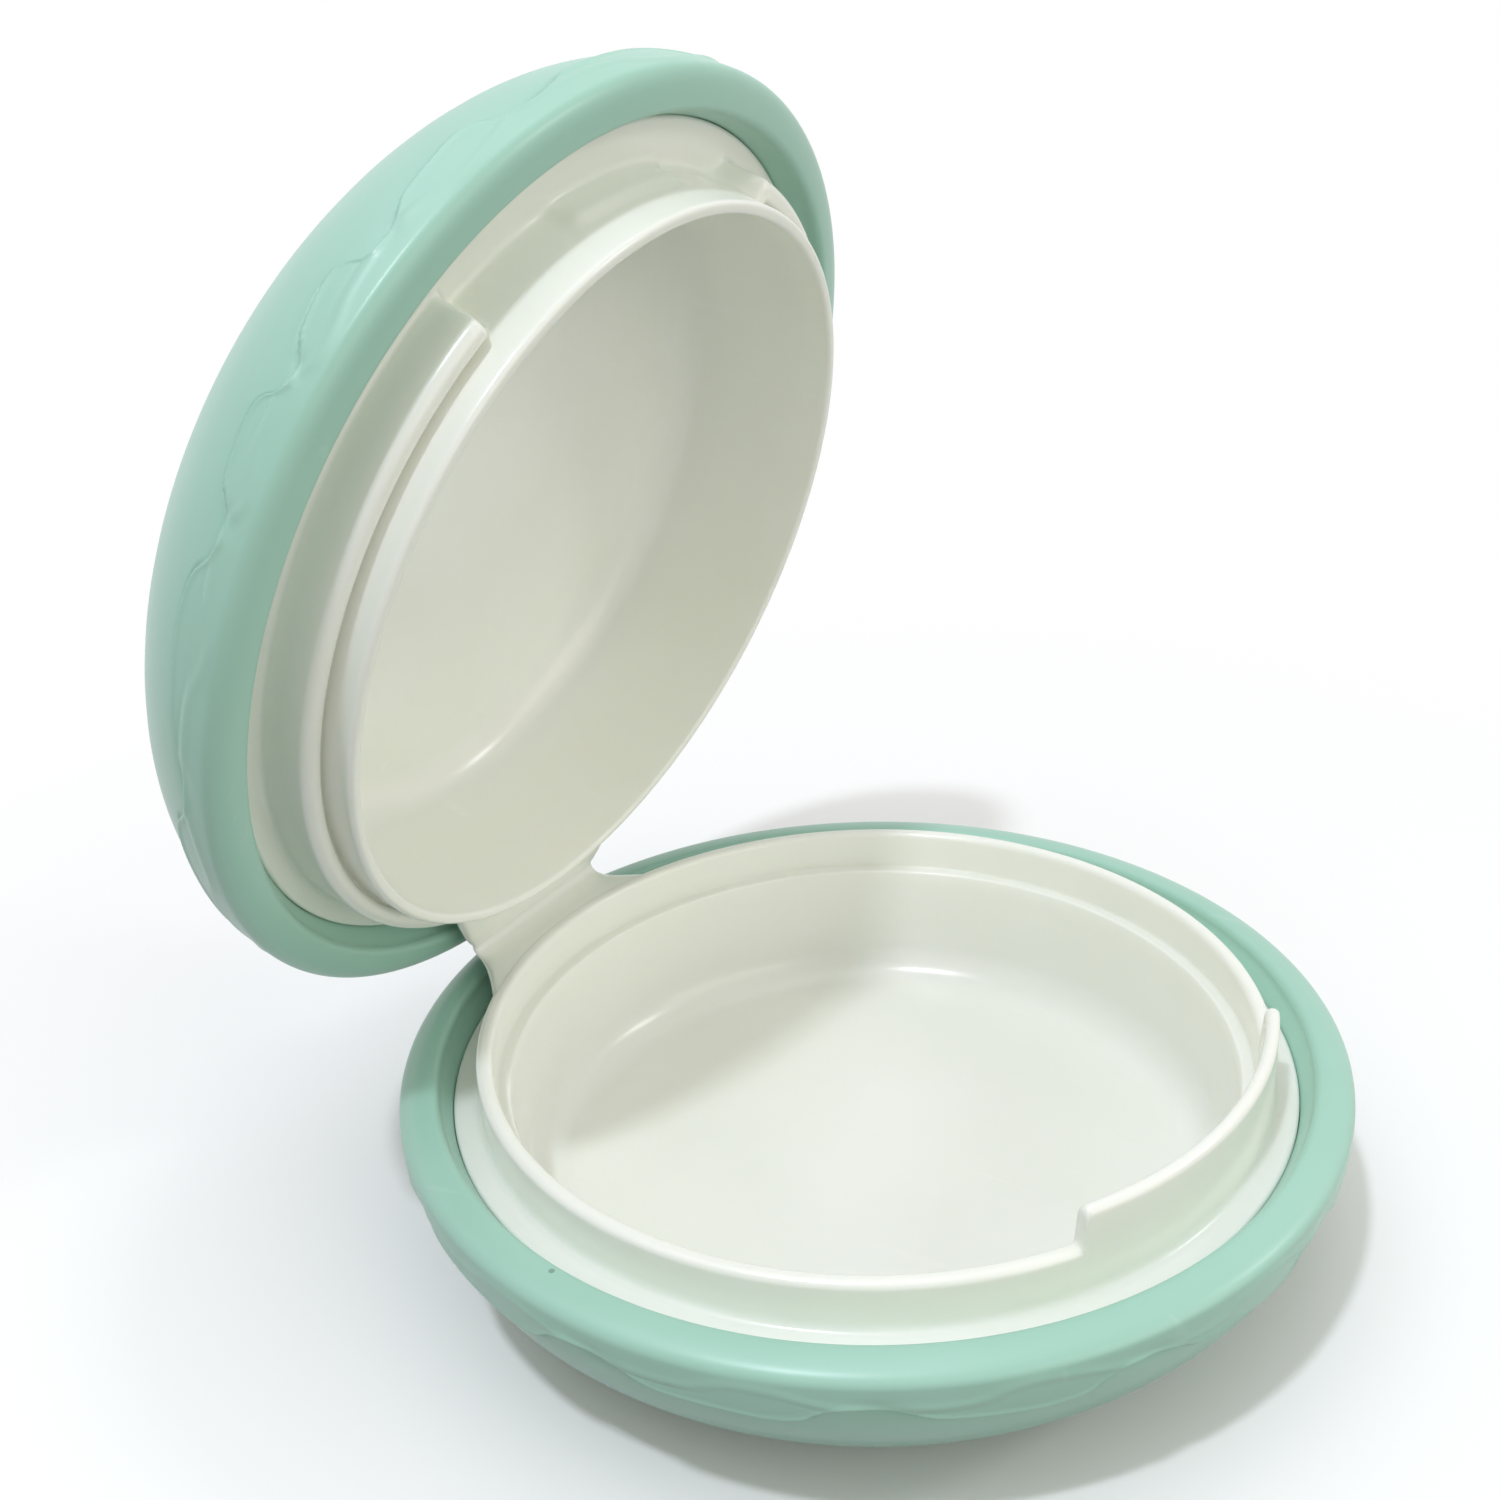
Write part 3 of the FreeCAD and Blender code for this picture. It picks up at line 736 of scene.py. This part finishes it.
RELIEF = 0.02


def shared_group(name, values, outputs):
    """A shader node group with a place, named values (with their usual sizes) and named outputs."""
    tree = bpy.data.node_groups.new(name, "ShaderNodeTree")
    tree.interface.new_socket("Place", in_out="INPUT", socket_type="NodeSocketVector")
    for label, value in values.items():
        tree.interface.new_socket(label, in_out="INPUT", socket_type="NodeSocketFloat").default_value = value
    for label in outputs:
        tree.interface.new_socket(label, in_out="OUTPUT", socket_type="NodeSocketFloat")
    return tree, tree.nodes.new("NodeGroupInput").outputs, tree.nodes.new("NodeGroupOutput").inputs


def moulded_surface():
    """Moulded plastic: a slow ripple, a fine grain and a little uneven gloss."""
    values = {"Grain": 1.0, "Gloss": 0.35}
    tree, given, made = shared_group("moulded_surface", values, ("Height", "Roughness", "Cloud"))
    ripple = noise(tree, given["Place"], RIPPLE_SCALE, detail=2.0)
    grain = noise(tree, given["Place"], GRAIN_SCALE, detail=3.0)
    cloud = noise(tree, given["Place"], CLOUD_SCALE, detail=3.0, Roughness=0.6)
    fine = sums(tree, "MULTIPLY", grain, given["Grain"])
    height = sums(tree, "ADD", fine, sums(tree, "MULTIPLY", ripple, RIPPLE_SHARE))
    patches = sums(tree, "MULTIPLY", sums(tree, "SUBTRACT", cloud, 0.5), CLOUD_GLOSS)
    rough = sums(tree, "ADD", given["Gloss"], patches)
    for label, value in (("Height", height), ("Roughness", rough), ("Cloud", cloud)):
        tree.links.new(value, made[label])
    return tree


def handled_dust():
    """A few dark specks and pale scuffs, as on a case that has been handled."""
    tree, given, made = shared_group("handled_dust", {"Specks": 0.3, "Scuffs": 0.3}, ("Specks", "Scuffs"))
    inputs = {"Vector": given["Place"], "Scale": SPECK_CELLS, "Randomness": 1.0}
    cells = wired(tree, "ShaderNodeTexVoronoi", inputs).outputs
    pick = wired(tree, "ShaderNodeSeparateColor", {"Color": cells["Color"]}).outputs
    dots = remapped(tree, cells["Distance"], *SPECK_SIZE, 1.0, 0.0)
    chosen = sums(tree, "LESS_THAN", pick[0], SPECK_SHARE)
    specks = sums(tree, "MULTIPLY", sums(tree, "MULTIPLY", dots, chosen), given["Specks"])
    inputs = {"Vector": given["Place"], "Rotation": SCUFF_TURN, "Scale": SCUFF_SCALE}
    stretched = wired(tree, "ShaderNodeMapping", inputs).outputs[0]
    fibre = noise(tree, stretched, 1.0, detail=2.0)
    scuffs = sums(tree, "MULTIPLY", remapped(tree, fibre, *SCUFF_RANGE), given["Scuffs"])
    tree.links.new(specks, made["Specks"])
    tree.links.new(scuffs, made["Scuffs"])
    return tree


def plastic(name, groups, colours, gloss, grain, bump, specks, scuffs, fixed):
    """A moulded plastic: its two close tints, its gloss, its grain and what handling left on it."""
    material = bpy.data.materials.new(name)
    material.use_nodes = True
    tree = material.node_tree
    shader = tree.nodes["Principled BSDF"]
    place = tree.nodes.new("ShaderNodeTexCoord").outputs["Object"]
    surface, dust = (wired(tree, "ShaderNodeGroup", node_tree=group) for group in groups)
    uses = ((surface, {"Grain": grain, "Gloss": gloss}), (dust, {"Specks": specks, "Scuffs": scuffs}))
    for node, values in uses:
        tree.links.new(place, node.inputs["Place"])
        for label, value in values.items():
            node.inputs[label].default_value = value
    share = remapped(tree, surface.outputs["Cloud"], *TINT_RANGE)
    colour = blended(tree, share, colours[0], colours[1])
    colour = blended(tree, dust.outputs["Scuffs"], colour, colours[2])
    colour = blended(tree, dust.outputs["Specks"], colour, colours[3])
    tree.links.new(colour, shader.inputs["Base Color"])
    dull = sums(tree, "MULTIPLY", dust.outputs["Scuffs"], SCUFF_GLOSS)
    tree.links.new(sums(tree, "ADD", surface.outputs["Roughness"], dull), shader.inputs["Roughness"])
    inputs = {"Strength": bump, "Distance": RELIEF * MM, "Height": surface.outputs["Height"]}
    relief = wired(tree, "ShaderNodeBump", inputs).outputs[0]
    tree.links.new(relief, shader.inputs["Normal"])
    for label, value in fixed.items():
        shader.inputs[label].default_value = value
    return material


# Studio: places and sizes in metres
WHITE = (1.0, 1.0, 1.0, 1.0)
FLOOR_HALF = 3.0
FLOOR_SHADE = (0.97, 0.97, 0.97, 1.0)
FLOOR_BOUNCE = (0.3, 0.3, 0.3, 1.0)
FLOOR_FADE = (0.042, 0.11)
SKY_TINT = (1.0, 0.985, 0.92, 1.0)
SKY_STRENGTH = 0.5
COOL = (0.95, 0.99, 1.1)
WARM = (1.04, 1.0, 0.88)
PLAIN = (1.0, 1.0, 1.0)


def seen_rays(tree):
    """1 for the rays that show the background: to the camera, in a reflection or through a clear piece."""
    path = tree.nodes.new("ShaderNodeLightPath").outputs
    bent = sums(tree, "MAXIMUM", path["Is Glossy Ray"], path["Is Transmission Ray"])
    return sums(tree, "MAXIMUM", path["Is Camera Ray"], bent)


def pale_floor():
    """A wide pale floor that keeps the shadow near the object and fades to white further out."""
    mesh = bpy.data.meshes.new("floor")
    corners = [(x * FLOOR_HALF, y * FLOOR_HALF, 0) for x, y in ((-1, -1), (1, -1), (1, 1), (-1, 1))]
    mesh.from_pydata(corners, [], [(0, 1, 2, 3)])
    material = bpy.data.materials.new("pale_floor")
    material.use_nodes = True
    tree = material.node_tree
    tree.nodes.remove(tree.nodes["Principled BSDF"])
    seen = seen_rays(tree)
    matte = wired(tree, "ShaderNodeBsdfDiffuse", {"Color": blended(tree, seen, FLOOR_BOUNCE, FLOOR_SHADE)})
    white = wired(tree, "ShaderNodeEmission", {"Color": WHITE, "Strength": 1.0})
    place = tree.nodes.new("ShaderNodeTexCoord").outputs["Object"]
    away = wired(tree, "ShaderNodeVectorMath", {0: place}, operation="LENGTH").outputs["Value"]
    share = sums(tree, "MULTIPLY", remapped(tree, away, *FLOOR_FADE), seen)
    mix = wired(tree, "ShaderNodeMixShader", {0: share, 1: matte.outputs[0], 2: white.outputs[0]})
    tree.links.new(mix.outputs[0], tree.nodes["Material Output"].inputs["Surface"])
    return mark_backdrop(piece("floor", mesh, material))


def white_world(strength):
    """An even soft sky for light, and plain white where it is seen past the floor."""
    world = bpy.data.worlds.new("white_world")
    world.use_nodes = True
    tree = world.node_tree
    sky = tree.nodes["Background"]
    seen = seen_rays(tree)
    tree.links.new(blended(tree, seen, SKY_TINT, WHITE), sky.inputs["Color"])
    level = wired(tree, "ShaderNodeMix", {0: seen, 2: strength, 3: 1.0}, data_type="FLOAT").outputs[0]
    tree.links.new(level, sky.inputs["Strength"])
    bpy.context.scene.world = world


def soft_lamp(name, place, aim, size, power, colour):
    """A rectangular lamp that faces its aim."""
    data = bpy.data.lights.new(name, "AREA")
    data.shape = "RECTANGLE"
    data.size, data.size_y = size
    data.energy = power
    data.color = colour
    lamp = bpy.data.objects.new(name, data)
    bpy.context.scene.collection.objects.link(lamp)
    lamp.location = place
    lamp.rotation_euler = (Vector(aim) - Vector(place)).to_track_quat("-Z", "Y").to_euler()


# Camera, as worked out from the rims and rings in the photograph
CAMERA = Vector((-78.81, -42.49, 73.40)) * MM
TARGET = Vector((1.03, 2.96, 26.09)) * MM
CAMERA_ROLL = -0.0249
CAMERA_LENS = 43.093
CAMERA_SENSOR = 36.0
CAMERA_SHIFT = (-0.0558, 0.0367)
CAMERA_NEAR = 0.01


def photo_camera():
    """A camera at the photograph's angle, with its small roll and shift."""
    data = bpy.data.cameras.new("camera")
    data.sensor_width = CAMERA_SENSOR
    data.lens = CAMERA_LENS
    data.shift_x, data.shift_y = CAMERA_SHIFT
    data.clip_start = CAMERA_NEAR
    forward = (TARGET - CAMERA).normalized()
    right = forward.cross(Vector((0, 0, 1))).normalized()
    up = right.cross(forward)
    tilt, lean = math.cos(CAMERA_ROLL), math.sin(CAMERA_ROLL)
    turned = Matrix((right * tilt + up * lean, up * tilt - right * lean, -forward)).transposed()
    camera = bpy.data.objects.new("camera", data)
    bpy.context.scene.collection.objects.link(camera)
    camera.matrix_world = Matrix.Translation(CAMERA) @ turned.to_4x4()
    bpy.context.scene.camera = camera


# Assembly
groups = (moulded_surface(), handled_dust())
mint = plastic("mint_plastic", groups, MINT, gloss=0.34, grain=0.5, bump=0.12, specks=0.6, scuffs=0.25,
               fixed={"Specular IOR Level": SHINE})
milk = plastic("milky_plastic", groups, MILK, gloss=0.22, grain=0.6, bump=0.08, specks=0.5, scuffs=0.2,
               fixed=MILKY)

ruffle = ruffle_tree()
lower = shell("lower_shell", on_base, LOWER_SCALLOPS, LOWER_SEED, ruffle, mint)
upper = shell("upper_shell", on_lid, UPPER_SCALLOPS, UPPER_SEED, ruffle, mint)
tray = dished_tray(milk)
liner = lid_dish(milk)
strap = folding_strap(milk)

for shape, body, node, slot in (
    (lower, "base", "bottom_shell", "mint_shell"),
    (tray, "base", "tray", "white_moulding"),
    (liner, "lid", "lid_liner", "white_moulding"),
    (upper, "lid", "lid_shell", "mint_shell"),
):
    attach(shape, body)
    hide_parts(node)

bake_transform(strap)
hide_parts("hinge_leaf_tray", "hinge_film", "hinge_leaf_lid")

pale_floor()
white_world(SKY_STRENGTH)
soft_lamp("ceiling_lamp", place=(-0.22, 0.01, 0.5), aim=(0, 0, 0.01), size=(0.03, 0.03), power=0.85,
          colour=COOL)
soft_lamp("ceiling_glow", place=(-0.05, 0.1, 0.6), aim=(0, 0, 0.01), size=(0.6, 0.6), power=1.0, colour=COOL)
soft_lamp("side_lamp", place=(0.364, -0.616, 0.438), aim=(0, 0.01, 0.02), size=(0.14, 0.14), power=0.75,
          colour=PLAIN)
soft_lamp("front_glow", place=(-0.1, -0.72, 0.22), aim=(0, 0.01, 0.03), size=(0.6, 0.5), power=1.3,
          colour=WARM)
photo_camera()
bpy.context.scene.view_settings.view_transform = "Standard"
